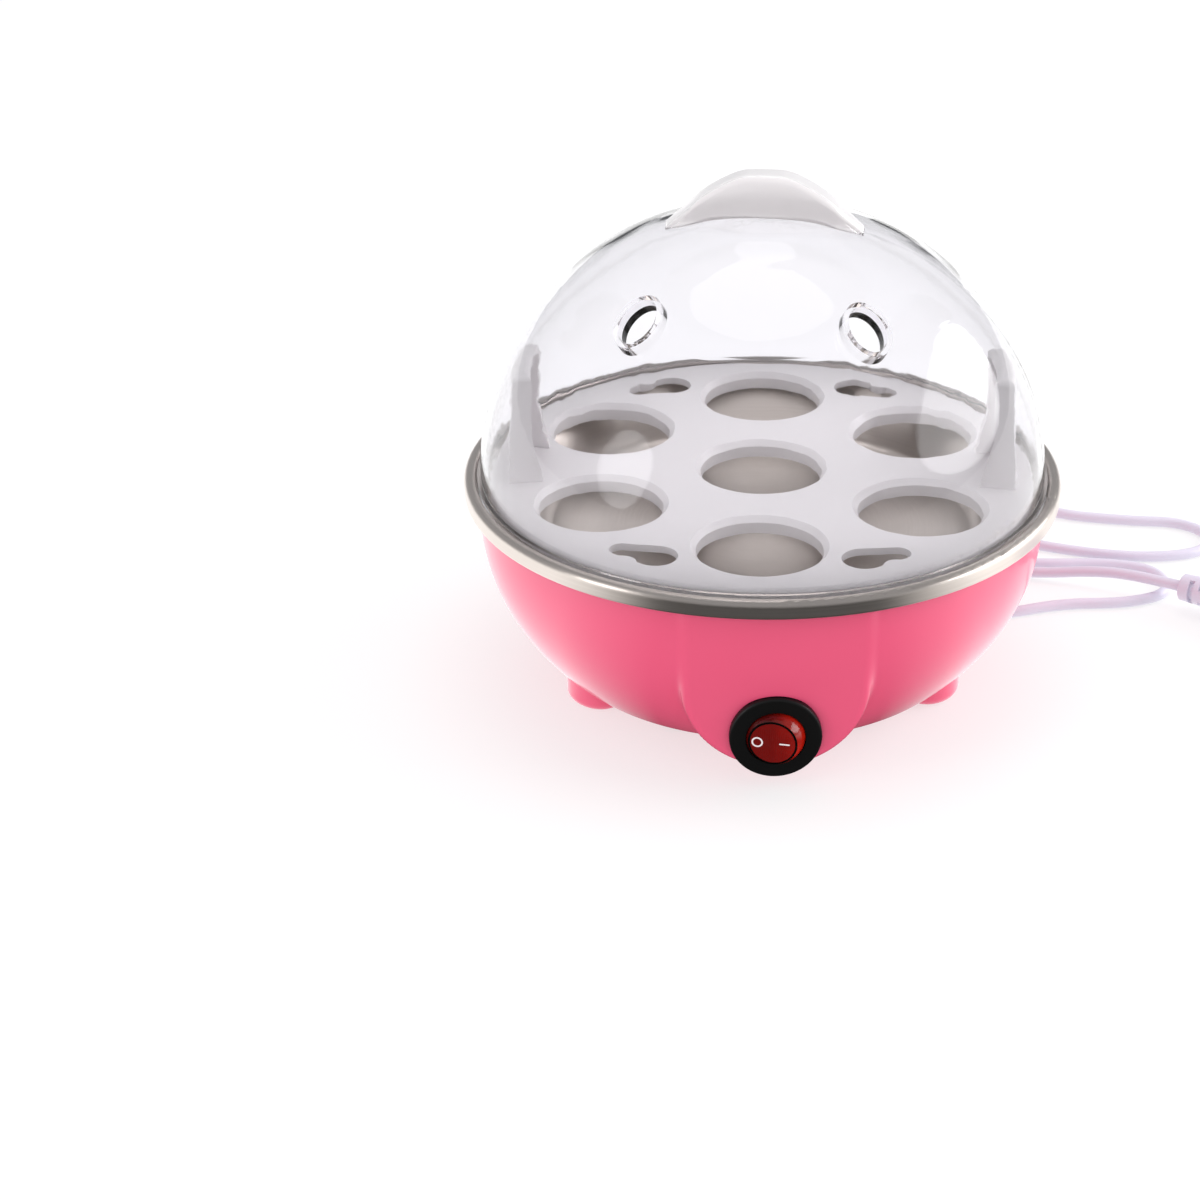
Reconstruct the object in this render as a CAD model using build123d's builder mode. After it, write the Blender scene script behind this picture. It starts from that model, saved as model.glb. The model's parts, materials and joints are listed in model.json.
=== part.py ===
"""Electric egg cooker: pink bowl, steel pan, egg tray, clear lid, rocker switch and mains cord.

Millimetres, +Z up, origin on the floor under the middle of the bowl, switch towards -Y.
"""
from build123d import *
from math import atan2, cos, pi, radians, sin, sqrt, tan
import os

# ---------------------------------------------------------------- driving dimensions
# bowl: an elliptical section with a short straight collar above its middle
BOWL_R = 77.3
BOWL_DROP = 62.0
BOWL_MID = 48.0
BOWL_BOTTOM = 2.0
BOWL_TOP = 55.4
BOWL_WALL = 2.2
BOWL_SOLE_ROUND = 4.0

# three moulded feet
FOOT_RING = 51.0
FOOT_RADIAL = 8.0
FOOT_WIDE = 9.5
FOOT_TALL = 14.0
FOOT_SOLE_ROUND = 3.0
FOOT_ANGLES = (-26, 90, 206)

# front boss that carries the switch
BOSS_HALF = 24.5
BOSS_OUT = 71.8
BOSS_TILT = 3.5
BOSS_DEPTH = 22.0
BOSS_ROUND = 4.0
BOSS_ARC_UP = 13.5
BOSS_TOP_UP = 36.0
SWITCH_Z = 15.7

# steel pan with a rolled rim
PAN_SHEET = 0.8
PAN_FLOOR = 42.0
PAN_FLOOR_R = 60.0
PAN_WALL_R = 71.0
LEDGE_Z = 56.4
BEAD_IN = 78.2
BEAD_OUT = 81.5
BEAD_TOP = 59.0
BEAD_BOTTOM = 54.0

# egg tray
TRAY_R = 74.5
TRAY_TOP = 59.3
TRAY_THICK = 2.0
SEAT_RING = 49.0
SEAT_R = 16.6
SEAT_LIP_R = 18.4
SEAT_LIP_BOTTOM = 54.6
EAR_TOP = 90.0
EAR_OUT = 69.6
EAR_TOP_OUT = 67.2
EAR_HALF_ANGLE = 11.3
EAR_WALL = 2.2
EAR_SIDE_ANGLE = 1.7
EAR_ROUND = 1.6
VENT_WIDE_R = 5.8
VENT_NARROW_R = 3.4
VENT_NOTCH_R = 3.6
TRAY_TURN = -3.8

# lid
LID_R = 77.0
LID_RISE = 73.8
LID_MID = 59.2
LID_WALL = 1.6
LID_FOOT_R = 77.9
LID_FOOT_BOTTOM = 56.5
LID_VENT_ANGLE = 34.0
LID_VENT_R = 50.0
LID_VENT_HOLE = (4.8, 6.6)
LID_VENT_COLLAR = (6.2, 8.0)
LID_TURN = -7.5
HANDLE_TOP = 143.6
HANDLE_FLAT = 6.0
HANDLE_HALF = 20.0
HANDLE_HALF_THICK = 4.2
HANDLE_WALL = 1.8

# switch, in its own plane: x to the right, y up the face, z out of the face
BEZEL_R = 12.1
BEZEL_THICK = 2.0
BEZEL_ROUND = 0.9
HOUSING_R = 9.9
HOUSING_DEPTH = 14.0
SWITCH_HOLE_R = 10.1
BALL_R = 8.0
BALL_GAP = 0.25
PIVOT_Z = -0.5
FACE_OFF = 4.9
ROCKER_TILT = 12.0
PIN_R = 1.0
PIN_MIDDLE = 8.3
PLUNGER_R = 1.7
PLUNGER_TIP_R = 1.0
LEVER_Z = -9.2
LEVER_TILT = 8.0
LEVER_LONG = 10.0
LEVER_WIDE = 3.0
LEVER_THICK = 0.5
LEVER_RIB_R = 0.4
CONTACT_X = 4.3
CONTACT_R = 0.9
BLADE_THICK = 0.8
BLADE_WIDE = 4.8

# heater, under the pan
PLATE_R = 33.0
PLATE_THICK = 5.5
ELEMENT_RING = 24.0
ELEMENT_R = 3.2
ELEMENT_GAP = 20.0
STUD_X = 38.0
STUD_R = 1.5
STRAP_HALF_WIDE = 5.0
STRAP_THICK = 1.2
THERMOSTAT_Y = 12.8
THERMOSTAT_R = 7.0
THERMOSTAT_HOLE_X = 10.8
THERMOSTAT_HOLE_R = 1.6
THERMOSTAT_FLANGE_WIDE = 6.9
THERMOSTAT_BLADE_X = 3.5

# pan fixings
POST_RING = 46.0
POST_ANGLES = (-58, 35, 145, 238)
POST_R = 4.2
POST_TOP = 22.0
POST_FLOOR = 18.5
HEAD_BORE_R = 2.9
SCREW_R = 1.5
STANDOFF_R = 3.0
SCREW_INTO = 13.0
SLOT_LONG = 3.2
SLOT_WIDE = 0.7

# cord and its bush
CORD_R = 1.6
RELIEF_Z = 20.0
RELIEF_LENGTH = 22.0
BUSH_HOLE_R = 4.6
BUSH_R = 4.5
BUSH_FLANGE_R = 6.4
BUSH_FLANGE_THICK = 1.8
SLEEVE_ROOT_R = 4.2
SLEEVE_TIP_R = 2.6
CRIMP_R = 2.9
CRIMP_LONG = 5.0
CORE_APART = 1.6
WIRE_R = 0.7

# ---------------------------------------------------------------- places worked out from them
PAN_UNDER = PAN_FLOOR - PAN_SHEET
PLATE_UNDER = PAN_UNDER - PLATE_THICK
ELEMENT_Z = PLATE_UNDER + 0.5
STRAP_TOP = ELEMENT_Z - ELEMENT_R
BOTTOM_ALIGN = (Align.CENTER, Align.CENTER, Align.MIN)
TOP_ALIGN = (Align.CENTER, Align.CENTER, Align.MAX)

tilt = radians(BOSS_TILT)
SWITCH_PLANE = Plane(
    origin=(0, -BOSS_OUT, SWITCH_Z), x_dir=(1, 0, 0), z_dir=(0, -cos(tilt), -sin(tilt))
)


def bowl_radius(z, inset=0.0):
    """Radius of the bowl's outer face, or of a face inset from it, at a height."""
    drop = min(z - BOWL_MID, 0.0) / (BOWL_DROP - inset)
    return (BOWL_R - inset) * sqrt(1 - drop * drop)


def polar(radius, angle, z=0.0):
    """A point at a radius and an angle in degrees from +X."""
    return (radius * cos(radians(angle)), radius * sin(radians(angle)), z)


# the cord leaves square to the back wall
relief_r = bowl_radius(RELIEF_Z)
relief_slope = atan2((RELIEF_Z - BOWL_MID) / BOWL_DROP**2, relief_r / BOWL_R**2)
RELIEF_DIR = Vector(0, cos(relief_slope), sin(relief_slope))
RELIEF_ROOT = Vector(0, relief_r, RELIEF_Z)
RELIEF_TIP = RELIEF_ROOT + RELIEF_DIR * RELIEF_LENGTH
RELIEF_PLANE = Plane(origin=RELIEF_ROOT, x_dir=(1, 0, 0), z_dir=RELIEF_DIR)

os.makedirs("parts", exist_ok=True)


def save(piece, name, turn=0.0):
    """Turn a finished piece about Z, label it and write its STEP file."""
    part = piece.part.rotate(Axis.Z, turn)
    part.label = name
    export_step(part, f"parts/{name}.step")


# ---------------------------------------------------------------- bowl
def draw_bowl(inset):
    """Half section of the bowl, inset from its outer face, in the current sketch."""
    with Locations((0, BOWL_MID)):
        Ellipse(BOWL_R - inset, BOWL_DROP - inset)
        Rectangle(2 * (BOWL_R - inset), 20, align=(Align.CENTER, Align.MIN))
    with Locations((0, BOWL_TOP)):
        Rectangle(400, 400, align=(Align.CENTER, Align.MIN), mode=Mode.SUBTRACT)
    with Locations((0, BOWL_BOTTOM + inset)):
        Rectangle(400, 400, align=(Align.CENTER, Align.MAX), mode=Mode.SUBTRACT)
    Rectangle(400, 400, align=(Align.MAX, Align.CENTER), mode=Mode.SUBTRACT)


def draw_boss(inset):
    """The boss's U outline in the switch plane, inset from its sides."""
    with Locations((0, BOSS_ARC_UP)):
        Circle(BOSS_HALF - inset)
        Rectangle(2 * (BOSS_HALF - inset), BOSS_TOP_UP - BOSS_ARC_UP, align=(Align.CENTER, Align.MIN))


with BuildPart() as boss_blank:
    with BuildSketch(SWITCH_PLANE):
        draw_boss(0)
    extrude(amount=-BOSS_DEPTH)
    front_face = boss_blank.faces().sort_by(Axis.Y)[0]
    fillet(front_face.edges(), BOSS_ROUND)

with BuildPart() as foot_blank:
    with BuildSketch():
        with Locations((FOOT_RING, 0)):
            Ellipse(FOOT_RADIAL, FOOT_WIDE)
    extrude(amount=FOOT_TALL)
    fillet(foot_blank.faces().sort_by(Axis.Z)[0].edges(), FOOT_SOLE_ROUND)

with BuildPart() as base_shell:
    with BuildSketch(Plane.XZ):
        draw_bowl(0)
    revolve(axis=Axis.Z)
    fillet(base_shell.faces().sort_by(Axis.Z)[0].edges(), BOWL_SOLE_ROUND)
    add(boss_blank.part)
    for foot_angle in FOOT_ANGLES:
        add(foot_blank.part, rotation=(0, 0, foot_angle))
    # hollow inside, with the boss's own pocket
    with BuildSketch(Plane.XZ):
        draw_bowl(BOWL_WALL)
    revolve(axis=Axis.Z, mode=Mode.SUBTRACT)
    with BuildSketch(SWITCH_PLANE.offset(-BOWL_WALL)):
        draw_boss(BOWL_WALL)
    extrude(amount=-BOSS_DEPTH, mode=Mode.SUBTRACT)
    # hole for the switch, and a flat seat for its bezel
    with BuildSketch(SWITCH_PLANE):
        Circle(SWITCH_HOLE_R)
    extrude(amount=-HOUSING_DEPTH, mode=Mode.SUBTRACT)
    with BuildSketch(SWITCH_PLANE):
        Circle(BEZEL_R + 0.2)
    extrude(amount=HOUSING_DEPTH, mode=Mode.SUBTRACT)
    # posts that carry the pan, screwed from below
    for post_angle in POST_ANGLES:
        with Locations(polar(POST_RING, post_angle, BOWL_BOTTOM)):
            Cylinder(POST_R, POST_TOP - BOWL_BOTTOM, align=BOTTOM_ALIGN)
            Cylinder(HEAD_BORE_R, POST_FLOOR - BOWL_BOTTOM, align=BOTTOM_ALIGN, mode=Mode.SUBTRACT)
            Cylinder(SCREW_R + 0.2, POST_TOP - BOWL_BOTTOM, align=BOTTOM_ALIGN, mode=Mode.SUBTRACT)
    # hole for the cord's bush
    with BuildSketch(RELIEF_PLANE):
        Circle(BUSH_HOLE_R)
    extrude(amount=6, both=True, mode=Mode.SUBTRACT)
save(base_shell, "base_shell")

# ---------------------------------------------------------------- pan and its fixings
with BuildPart() as heating_pan:
    with BuildSketch(Plane.XZ):
        with BuildLine():
            FilletPolyline(
                (0, PAN_FLOOR),
                (PAN_FLOOR_R, PAN_FLOOR),
                (PAN_WALL_R, LEDGE_Z),
                (BEAD_IN, LEDGE_Z),
                (BEAD_IN, BEAD_TOP),
                (BEAD_OUT, BEAD_TOP),
                (BEAD_OUT, BEAD_BOTTOM),
                (BEAD_OUT - 1.8, BEAD_BOTTOM),
                radius=(5.0, 1.6, 0.3, 1.2, 1.6, 0.9),
            )
            offset(amount=PAN_SHEET, side=Side.RIGHT)
        make_face()
    revolve(axis=Axis.Z)
save(heating_pan, "heating_pan")

with BuildPart() as pan_standoffs:
    for post_angle in POST_ANGLES:
        with Locations(polar(POST_RING, post_angle, POST_TOP)):
            Cylinder(STANDOFF_R, PAN_UNDER - POST_TOP, align=BOTTOM_ALIGN)
            Cylinder(SCREW_R + 0.1, 11, align=BOTTOM_ALIGN, mode=Mode.SUBTRACT)
save(pan_standoffs, "pan_standoffs")

with BuildPart() as pan_screws:
    for post_angle in POST_ANGLES:
        with Locations(polar(POST_RING, post_angle, POST_FLOOR)):
            Cylinder(HEAD_BORE_R - 0.2, 2.0, align=TOP_ALIGN)
            Cylinder(SCREW_R, SCREW_INTO, align=BOTTOM_ALIGN)
        with Locations(polar(POST_RING, post_angle, POST_FLOOR - 2.0)):
            Box(SLOT_LONG, SLOT_WIDE, 0.9, align=BOTTOM_ALIGN, mode=Mode.SUBTRACT)
            Box(SLOT_WIDE, SLOT_LONG, 0.9, align=BOTTOM_ALIGN, mode=Mode.SUBTRACT)
save(pan_screws, "pan_screws")


# ---------------------------------------------------------------- egg tray
def radial_plane(angle):
    """Upright plane through the Z axis: local x points out at the angle, local y points up."""
    return Plane(
        origin=(0, 0, 0),
        x_dir=(cos(radians(angle)), sin(radians(angle)), 0),
        z_dir=(sin(radians(angle)), -cos(radians(angle)), 0),
    )


SEATS = [(0, 0, TRAY_TOP)] + [polar(SEAT_RING, -90 + 60 * k, TRAY_TOP) for k in range(6)]
VENT_WIDE = polar(62.0, -115.5)
VENT_NARROW = polar(63.3, -124.0)
VENT_NOTCH = polar(69.2, -120.4)

with BuildPart() as ear_blank:
    with BuildSketch(radial_plane(-EAR_HALF_ANGLE)):
        with BuildLine():
            Polyline(
                (EAR_OUT, TRAY_TOP - 1),
                (EAR_TOP_OUT, EAR_TOP),
                (62.4, EAR_TOP),
                (63.0, 72.0),
                (60.0, TRAY_TOP),
                (60.0, TRAY_TOP - 1),
                close=True,
            )
        make_face()
    revolve(axis=Axis.Z, revolution_arc=2 * EAR_HALF_ANGLE)
    fillet(ear_blank.faces().sort_by(Axis.Z)[-1].edges(), EAR_ROUND)
    with BuildSketch(radial_plane(-EAR_HALF_ANGLE + EAR_SIDE_ANGLE)):
        with BuildLine():
            Polyline(
                (EAR_OUT - EAR_WALL, TRAY_TOP),
                (EAR_TOP_OUT - EAR_WALL, EAR_TOP - EAR_WALL),
                (55.0, EAR_TOP - EAR_WALL),
                (55.0, TRAY_TOP),
                close=True,
            )
        make_face()
    revolve(axis=Axis.Z, revolution_arc=2 * (EAR_HALF_ANGLE - EAR_SIDE_ANGLE), mode=Mode.SUBTRACT)

with BuildPart() as egg_tray:
    with BuildSketch(Plane.XZ):
        with BuildLine():
            Polyline(
                (0, TRAY_TOP),
                (TRAY_R, TRAY_TOP),
                (TRAY_R, LEDGE_Z + 0.05),
                (TRAY_R - TRAY_THICK, LEDGE_Z + 0.05),
                (TRAY_R - TRAY_THICK, TRAY_TOP - TRAY_THICK),
                (0, TRAY_TOP - TRAY_THICK),
                close=True,
            )
        make_face()
    revolve(axis=Axis.Z)
    fillet(egg_tray.edges().group_by(Axis.Z)[-1], 1.2)
    with Locations(*SEATS):
        Cylinder(SEAT_LIP_R, TRAY_TOP - SEAT_LIP_BOTTOM, align=TOP_ALIGN)
    with Locations(*SEATS):
        Cylinder(SEAT_R, TRAY_TOP - SEAT_LIP_BOTTOM, align=TOP_ALIGN, mode=Mode.SUBTRACT)
        Cone(SEAT_R, SEAT_LIP_R - 0.4, 1.6, align=TOP_ALIGN, mode=Mode.SUBTRACT)
    with BuildSketch(Plane.XY.offset(TRAY_TOP)):
        with Locations(VENT_WIDE):
            Circle(VENT_WIDE_R)
        with Locations(VENT_NARROW):
            Circle(VENT_NARROW_R)
        make_hull()
        with Locations(VENT_NOTCH):
            Circle(VENT_NOTCH_R, mode=Mode.SUBTRACT)
        mirror(about=Plane.YZ)
        mirror(about=Plane.XZ)
    extrude(amount=-3, mode=Mode.SUBTRACT)
    add(ear_blank.part)
    add(ear_blank.part, rotation=(0, 0, 180))
save(egg_tray, "egg_tray", TRAY_TURN)

# ---------------------------------------------------------------- lid
vent_z = LID_MID + LID_RISE * sqrt(1 - (LID_VENT_R / LID_R) ** 2)
vent_slope = atan2((vent_z - LID_MID) / LID_RISE**2, LID_VENT_R / LID_R**2)


def lid_vent_plane(angle):
    """Plane on the dome's skin, square to it, with local y up the dome."""
    out = Vector(cos(radians(angle)), sin(radians(angle)), 0)
    side = Vector(-out.Y, out.X, 0)
    normal = out * cos(vent_slope) + Vector(0, 0, 1) * sin(vent_slope)
    return Plane(origin=polar(LID_VENT_R, angle, vent_z), x_dir=side, z_dir=normal)


LID_VENT_PLANES = [lid_vent_plane(-90 - LID_VENT_ANGLE), lid_vent_plane(-90 + LID_VENT_ANGLE)]


def dome_points(inset):
    """Points of an elliptical quarter from the dome's springing to its top, inset from its skin."""
    rise = LID_RISE - inset
    steps = [radians(15 * k) for k in range(7)]
    return [((LID_R - inset) * cos(t), LID_MID + rise * sin(t)) for t in steps]


DOME_ENDS = ((0, 1), (-1, 0))

with BuildPart() as lid_dome:
    with BuildSketch(Plane.XZ):
        with BuildLine():
            skin = Spline(*dome_points(0), tangents=DOME_ENDS)
            Polyline(
                skin @ 1,
                (0, LID_FOOT_BOTTOM),
                (LID_FOOT_R, LID_FOOT_BOTTOM),
                (LID_FOOT_R, LID_MID),
                skin @ 0,
            )
        make_face()
    revolve(axis=Axis.Z)
    for vent_plane in LID_VENT_PLANES:
        with BuildSketch(vent_plane.offset(-1.0)):
            Ellipse(*LID_VENT_COLLAR)
        extrude(amount=4.3)
    with BuildSketch(Plane.XZ):
        with BuildLine():
            skin = Spline(*dome_points(LID_WALL), tangents=DOME_ENDS)
            Polyline(skin @ 1, (0, LID_FOOT_BOTTOM), (LID_R - LID_WALL, LID_FOOT_BOTTOM), skin @ 0)
        make_face()
    revolve(axis=Axis.Z, mode=Mode.SUBTRACT)
    for vent_plane in LID_VENT_PLANES:
        with BuildSketch(vent_plane.offset(-6)):
            Ellipse(*LID_VENT_HOLE)
        extrude(amount=12, mode=Mode.SUBTRACT)
save(lid_dome, "lid_dome", LID_TURN)


def handle_outline(inset):
    """Points of the grip's outline seen from the front, inset from its faces."""
    top = HANDLE_TOP - inset
    shoulder = 136.4 - inset / 2
    return [
        (-HANDLE_HALF + inset, 120),
        (-18.4 + inset, shoulder),
        (-HANDLE_FLAT - 0.6, top),
        (HANDLE_FLAT + 0.6, top),
        (18.4 - inset, shoulder),
        (HANDLE_HALF - inset, 120),
    ]


HANDLE_ROUNDS = (5.0, 7.0, 7.0, 5.0)

with BuildPart() as dome_core:
    with BuildSketch(Plane.XZ):
        with BuildLine():
            skin = Spline(*dome_points(-0.02), tangents=DOME_ENDS)
            Polyline(skin @ 1, (0, LID_MID), skin @ 0)
        make_face()
    revolve(axis=Axis.Z)

with BuildPart() as lid_handle:
    with BuildSketch(Plane.XZ):
        with BuildLine():
            outline = FilletPolyline(*handle_outline(0), radius=HANDLE_ROUNDS)
            Line(outline @ 1, outline @ 0)
        make_face()
    extrude(amount=HANDLE_HALF_THICK, both=True)
    fillet(lid_handle.faces().sort_by(Axis.Y)[0].edges().group_by(Axis.Z)[1:], 1.6)
    fillet(lid_handle.faces().sort_by(Axis.Y)[-1].edges().group_by(Axis.Z)[1:], 1.6)
    with BuildSketch(Plane.XZ):
        with BuildLine():
            outline = FilletPolyline(*handle_outline(HANDLE_WALL), radius=HANDLE_ROUNDS)
            Line(outline @ 1, outline @ 0)
        make_face()
    extrude(amount=HANDLE_HALF_THICK - HANDLE_WALL, both=True, mode=Mode.SUBTRACT)
    add(dome_core.part, mode=Mode.SUBTRACT)
save(lid_handle, "lid_handle", LID_TURN)

# ---------------------------------------------------------------- switch
SWITCH_OUT = SWITCH_PLANE.z_dir
PIVOT = SWITCH_PLANE.origin + SWITCH_OUT * PIVOT_Z
LEVER_PIVOT = SWITCH_PLANE.origin + SWITCH_OUT * LEVER_Z


def tipped_plane(origin, angle):
    """The switch plane at an origin, turned about the face's upward axis."""
    turn = radians(angle)
    across = Vector(1, 0, 0)
    return Plane(
        origin=origin,
        x_dir=across * cos(turn) - SWITCH_OUT * sin(turn),
        z_dir=SWITCH_OUT * cos(turn) + across * sin(turn),
    )


ROCKER_PLANE = tipped_plane(PIVOT, -ROCKER_TILT)
LEVER_PLANE = tipped_plane(LEVER_PIVOT, LEVER_TILT)
TERMINAL_XS = (-4.5, 0.0, 4.5)
TERMINAL_TOPS = (-10.9, -9.7, -11.0)
TERMINAL_END = -22.0
SLEEVE_END = -24.0

with BuildPart() as switch_housing:
    with BuildSketch(SWITCH_PLANE):
        Circle(BEZEL_R)
    extrude(amount=BEZEL_THICK)
    fillet(switch_housing.faces().sort_by(Axis.Y)[0].edges(), BEZEL_ROUND)
    with BuildSketch(SWITCH_PLANE):
        Circle(HOUSING_R)
    extrude(amount=-HOUSING_DEPTH)
    with Locations(SWITCH_PLANE.offset(PIVOT_Z)):
        Sphere(BALL_R + BALL_GAP, mode=Mode.SUBTRACT)
        Cylinder(PIN_R + 0.08, 18.8, rotation=(90, 0, 0), mode=Mode.SUBTRACT)
    with Locations(SWITCH_PLANE.offset(-12)):
        Cylinder(6.2, 7, align=BOTTOM_ALIGN, mode=Mode.SUBTRACT)
    with Locations(SWITCH_PLANE.offset(-HOUSING_DEPTH)):
        with GridLocations(TERMINAL_XS[2], 0, 3, 1):
            Box(1.0, 5.0, 6, mode=Mode.SUBTRACT)
save(switch_housing, "switch_housing")

with BuildPart() as switch_rocker:
    with Locations(ROCKER_PLANE):
        Sphere(BALL_R)
    with Locations(ROCKER_PLANE.offset(FACE_OFF)):
        Cylinder(12, 8, align=BOTTOM_ALIGN, mode=Mode.SUBTRACT)
    with Locations(ROCKER_PLANE.offset(-3.2)):
        Cylinder(12, 12, align=TOP_ALIGN, mode=Mode.SUBTRACT)
        Cylinder(6.2, 6.1, align=BOTTOM_ALIGN, mode=Mode.SUBTRACT)
    with Locations(ROCKER_PLANE.offset(3.5)):
        Cylinder(PLUNGER_R, 10.0, align=TOP_ALIGN)
    with Locations(ROCKER_PLANE.offset(3.5 - 10.0)):
        Cylinder(PLUNGER_TIP_R, 1.1, align=TOP_ALIGN)
    for side in (-1, 1):
        with Locations(ROCKER_PLANE.location * Location((0, side * PIN_MIDDLE, 0))):
            Cylinder(PIN_R, 1.8, rotation=(90, 0, 0))
save(switch_rocker, "switch_rocker")

with BuildPart() as indicator_lamp:
    with Locations(ROCKER_PLANE.location * Location((3.6, 0, 0.9))):
        Cylinder(1.5, 5.0, rotation=(90, 0, 0))
        Cylinder(0.3, 6.0, rotation=(90, 0, 0))
save(indicator_lamp, "indicator_lamp")

with BuildPart() as rocker_lever:
    with Locations(LEVER_PLANE):
        Box(LEVER_LONG, LEVER_WIDE, LEVER_THICK)
        Cylinder(LEVER_RIB_R, LEVER_WIDE, rotation=(90, 0, 0))
    for side in (-1, 1):
        with Locations(LEVER_PLANE.location * Location((side * CONTACT_X, 0, -LEVER_THICK / 2))):
            Cylinder(CONTACT_R, 0.5, align=TOP_ALIGN)
save(rocker_lever, "rocker_lever")

with BuildPart() as switch_terminals:
    for blade_x, blade_top in zip(TERMINAL_XS, TERMINAL_TOPS):
        with Locations(SWITCH_PLANE.location * Location((blade_x, 0, blade_top))):
            Box(BLADE_THICK, BLADE_WIDE, blade_top - TERMINAL_END, align=TOP_ALIGN)
save(switch_terminals, "switch_terminals")

with BuildPart() as terminal_sleeves:
    for blade_x in TERMINAL_XS:
        with Locations(SWITCH_PLANE.location * Location((blade_x, 0, SLEEVE_END))):
            Box(3.4, 7.0, 8, align=BOTTOM_ALIGN)
            with Locations((0, 0, 1.5)):
                Box(1.0, 5.0, 6.5, align=BOTTOM_ALIGN, mode=Mode.SUBTRACT)
save(terminal_sleeves, "terminal_sleeves")

# ---------------------------------------------------------------- heater
LEG_ANGLES = (90 - ELEMENT_GAP, 90 + ELEMENT_GAP)
LEG_BOTTOM = 27.0
PIN_BOTTOM = 22.0
LEG_X = ELEMENT_RING * sin(radians(ELEMENT_GAP))
LEG_Y = ELEMENT_RING * cos(radians(ELEMENT_GAP))
THERMOSTAT_HOLES = ((-THERMOSTAT_HOLE_X, THERMOSTAT_Y), (THERMOSTAT_HOLE_X, THERMOSTAT_Y))
THERMOSTAT_FLANGE = 0.9

with BuildPart() as heater_plate:
    with BuildSketch(Plane.XY.offset(PLATE_UNDER)):
        Circle(PLATE_R)
    extrude(amount=PLATE_THICK)
    chamfer(heater_plate.edges().group_by(Axis.Z)[0], 1.0)
    with BuildSketch(radial_plane(0)):
        with Locations((ELEMENT_RING, ELEMENT_Z)):
            Circle(ELEMENT_R + 0.05)
    revolve(axis=Axis.Z, mode=Mode.SUBTRACT)
    with BuildSketch(Plane.XY.offset(PLATE_UNDER)):
        with Locations(*THERMOSTAT_HOLES):
            Circle(1.5)
    extrude(amount=3.5, mode=Mode.SUBTRACT)
save(heater_plate, "heater_plate")

with BuildPart() as heater_element:
    with BuildSketch(radial_plane(LEG_ANGLES[1])):
        with Locations((ELEMENT_RING, ELEMENT_Z)):
            Circle(ELEMENT_R)
    revolve(axis=Axis.Z, revolution_arc=360 - 2 * ELEMENT_GAP)
    for leg_angle in LEG_ANGLES:
        with Locations(polar(ELEMENT_RING, leg_angle, ELEMENT_Z)):
            Sphere(ELEMENT_R)
            Cylinder(ELEMENT_R, ELEMENT_Z - LEG_BOTTOM, align=TOP_ALIGN)
            Cylinder(1.2, ELEMENT_Z - PIN_BOTTOM, align=TOP_ALIGN)
save(heater_element, "heater_element")

with BuildPart() as element_crimps:
    for leg_angle in LEG_ANGLES:
        with Locations(polar(ELEMENT_RING, leg_angle, PIN_BOTTOM)):
            Cylinder(2.2, 4.0, align=BOTTOM_ALIGN)
            Cylinder(1.25, 4.0, align=BOTTOM_ALIGN, mode=Mode.SUBTRACT)
save(element_crimps, "element_crimps")

strap_bottom = STRAP_TOP - 0.05 - STRAP_THICK
NUT_HIGH = 2.4
with BuildPart() as heater_studs:
    with Locations((-STUD_X, 0, PAN_UNDER), (STUD_X, 0, PAN_UNDER)):
        Cylinder(STUD_R, PAN_UNDER - strap_bottom + 3.2, align=TOP_ALIGN)
save(heater_studs, "heater_studs")

with BuildPart() as heater_strap:
    with BuildSketch(Plane.XY.offset(strap_bottom)):
        SlotOverall(2 * STUD_X + 2 * STRAP_HALF_WIDE, 2 * STRAP_HALF_WIDE)
        with Locations((-STUD_X, 0), (STUD_X, 0)):
            Circle(STUD_R + 0.2, mode=Mode.SUBTRACT)
    extrude(amount=STRAP_THICK)
save(heater_strap, "heater_strap")

with BuildPart() as strap_nuts:
    with BuildSketch(Plane.XY.offset(strap_bottom)):
        with Locations((-STUD_X, 0), (STUD_X, 0)):
            RegularPolygon(3.2, 6)
            Circle(STUD_R + 0.05, mode=Mode.SUBTRACT)
    extrude(amount=-NUT_HIGH)
save(strap_nuts, "strap_nuts")

with BuildPart() as thermostat:
    with BuildSketch(Plane.XY.offset(PLATE_UNDER)):
        with Locations((0, THERMOSTAT_Y)):
            SlotOverall(2 * THERMOSTAT_HOLE_X + THERMOSTAT_FLANGE_WIDE, THERMOSTAT_FLANGE_WIDE)
        with Locations(*THERMOSTAT_HOLES):
            Circle(THERMOSTAT_HOLE_R, mode=Mode.SUBTRACT)
    extrude(amount=-THERMOSTAT_FLANGE)
    with Locations((0, THERMOSTAT_Y, PLATE_UNDER)):
        Cylinder(THERMOSTAT_R, 3.2, align=TOP_ALIGN)
        Cylinder(THERMOSTAT_R - 0.8, 8.0, align=TOP_ALIGN)
    for side in (-1, 1):
        with Locations((side * THERMOSTAT_BLADE_X, THERMOSTAT_Y, PLATE_UNDER)):
            Box(BLADE_THICK, BLADE_WIDE, PLATE_UNDER - 22, align=TOP_ALIGN)
save(thermostat, "thermostat")

with BuildPart() as thermostat_screws:
    for hole_x, hole_y in THERMOSTAT_HOLES:
        with Locations((hole_x, hole_y, PLATE_UNDER - THERMOSTAT_FLANGE)):
            Cylinder(2.6, 1.7, align=TOP_ALIGN)
            Cylinder(1.45, 4.0, align=BOTTOM_ALIGN)
        with Locations((hole_x, hole_y, PLATE_UNDER - THERMOSTAT_FLANGE - 1.7)):
            Box(SLOT_LONG, SLOT_WIDE, 0.8, align=BOTTOM_ALIGN, mode=Mode.SUBTRACT)
save(thermostat_screws, "thermostat_screws")

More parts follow.
